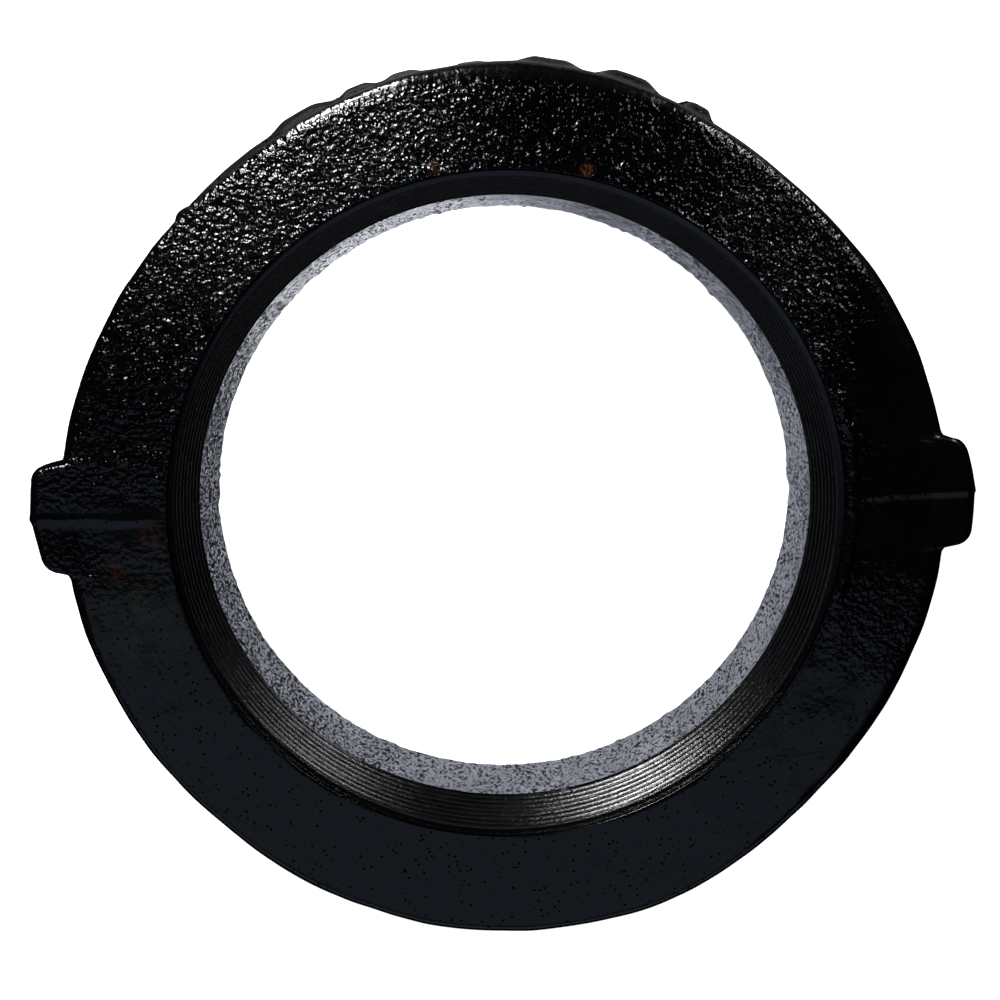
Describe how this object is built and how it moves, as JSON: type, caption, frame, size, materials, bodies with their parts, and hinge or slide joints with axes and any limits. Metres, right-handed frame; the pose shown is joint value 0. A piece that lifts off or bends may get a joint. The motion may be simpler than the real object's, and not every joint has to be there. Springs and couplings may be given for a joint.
{
  "type": "lug pipe union",
  "caption": "Black cast pipe union: a lugged swivel nut draws a tail piece with a grooved bevelled mouth onto a bronze seat in a threaded head piece.",
  "frame": {"origin": "middle of the head piece's end face, on the waterway's axis, at the bottom of the part", "axes": "+Z along the waterway from the head piece to the tail piece's mouth, X through the nut's two lugs"},
  "size_m": [0.1598, 0.1496, 0.044],
  "materials": {
    "head_casting": "gloss black paint over a sand-cast surface",
    "bronze": "machined bronze",
    "rubber": "matt black rubber",
    "tail_casting": "turned grooved bevel and as-cast bore, painted black",
    "nut_casting": "gloss black paint over a coarse sand-cast surface"
  },
  "bodies": {
    "head": {"head_piece": "head_casting", "seat_ring": "bronze"},
    "tail": {"tail_piece": "tail_casting", "seal_ring": "rubber"},
    "nut": {"union_nut": "nut_casting"}
  },
  "joints": [
    {"name": "tail_lift", "type": "slide", "parent": "head", "child": "tail", "axis": [0, 0, 1], "range_m": [0, 0.021]},
    {"name": "nut_spin", "type": "hinge", "parent": "tail", "child": "nut", "pos_m": [0, 0, 0.018], "axis": [0, 0, 1], "range_deg": [0, 1260]}
  ],
  "couplings": [
    {"joint": "tail_lift", "follows": "nut_spin", "m_per_rad": 0.00095493}
  ]
}
